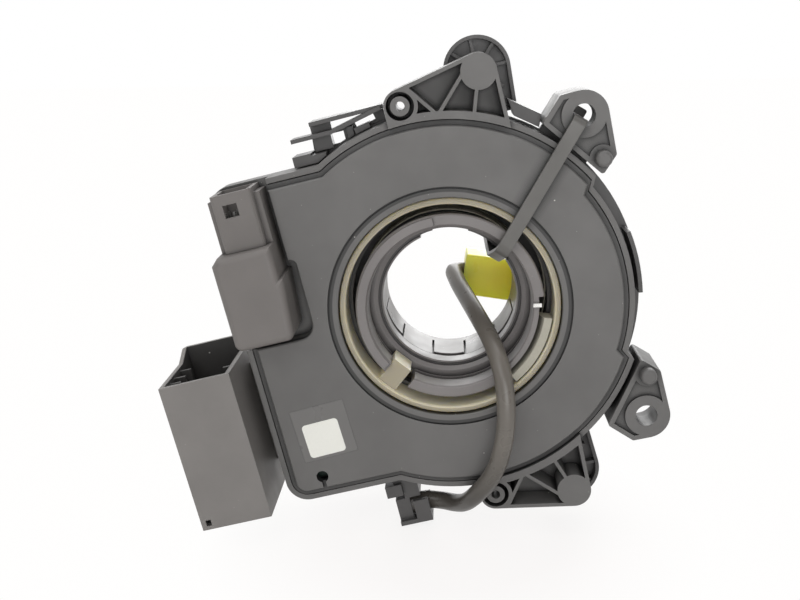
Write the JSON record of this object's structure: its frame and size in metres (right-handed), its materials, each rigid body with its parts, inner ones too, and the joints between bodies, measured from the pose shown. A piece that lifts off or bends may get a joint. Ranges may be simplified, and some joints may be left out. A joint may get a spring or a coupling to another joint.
{
  "type": "steering clock spring",
  "caption": "Steering clock spring: round sensor case on a frame and ribbon cassette, a geared rotor through the bore, side connectors and a lead with its plug.",
  "frame": {"origin": "on the steering axis, in the plane of the sensor cover's face, midway between the two screw bosses", "axes": "+Y along the steering axis from the column side to the steering wheel, +Z towards the arm with the tie's side up, +X to the right as the column side is seen"},
  "size_m": [0.1311, 0.0626, 0.1336],
  "materials": {
    "case_plastic": "fine-grained dark grey moulding",
    "frame_plastic": "satin dark grey moulding",
    "cassette_plastic": "satin dark grey moulding",
    "rotor_plastic": "smooth mid grey moulding",
    "natural_plastic": "smooth natural beige moulding",
    "light_plastic": "smooth light grey moulding",
    "connector_plastic": "dark grey moulding",
    "terminal_metal": "tinned metal",
    "magnet_metal": "sintered magnet",
    "board_laminate": "green laminate",
    "chip_plastic": "black moulded package",
    "ribbon_film": "clear laminated film",
    "lead_jacket": "satin grey jacket",
    "plug_plastic": "smooth yellow moulding",
    "tie_plastic": "smooth grey strap"
  },
  "bodies": {
    "stator": {"sensor_cover": "case_plastic", "sensor_case": "case_plastic", "mounting_frame": "frame_plastic", "upper_ear": "frame_plastic", "lower_ear": "frame_plastic", "ribbon_cassette": "cassette_plastic", "ribbon_cable": "ribbon_film", "circuit_board": "board_laminate", "field_sensors": "chip_plastic", "processor_chip": "chip_plastic", "upper_connector_shell": "connector_plastic", "upper_connector_pins": "terminal_metal", "upper_connector_boot": "connector_plastic", "lower_connector_shell": "connector_plastic", "lower_connector_pins": "terminal_metal", "lead_gland": "lead_jacket", "lead_cable": "lead_jacket", "plug_housing": "plug_plastic", "plug_latch": "plug_plastic", "tie_strap": "tie_plastic", "tie_head": "tie_plastic"},
    "rotor": {"drive_hub": "natural_plastic", "rotor_sleeve": "rotor_plastic", "rotor_crown": "rotor_plastic", "rotor_face": "rotor_plastic", "crescent_plate": "light_plastic", "contact_blade": "terminal_metal", "wheel_socket_left": "connector_plastic", "wheel_socket_right": "connector_plastic", "wheel_socket_pins": "terminal_metal"},
    "sensor_gear_a": {"sensor_gear_a": "natural_plastic", "sensor_magnet_a": "magnet_metal"},
    "sensor_gear_b": {"sensor_gear_b": "natural_plastic", "sensor_magnet_b": "magnet_metal"}
  },
  "joints": [
    {"name": "rotor_turn", "type": "hinge", "parent": "stator", "child": "rotor", "pos_m": [0, 0, 0], "axis": [0, 1, 0], "range_deg": [-900, 900]},
    {"name": "gear_a_turn", "type": "hinge", "parent": "stator", "child": "sensor_gear_a", "pos_m": [-0.03409, 0.0095, -0.02278], "axis": [0, 1, 0], "range_deg": [-3200, 3200]},
    {"name": "gear_b_turn", "type": "hinge", "parent": "stator", "child": "sensor_gear_b", "pos_m": [-0.03981, 0.0095, -0.00392], "axis": [0, 1, 0], "range_deg": [-3600, 3600]}
  ],
  "couplings": [
    {"joint": "gear_a_turn", "follows": "rotor_turn", "ratio": -3.5556},
    {"joint": "gear_b_turn", "follows": "rotor_turn", "ratio": -4}
  ]
}
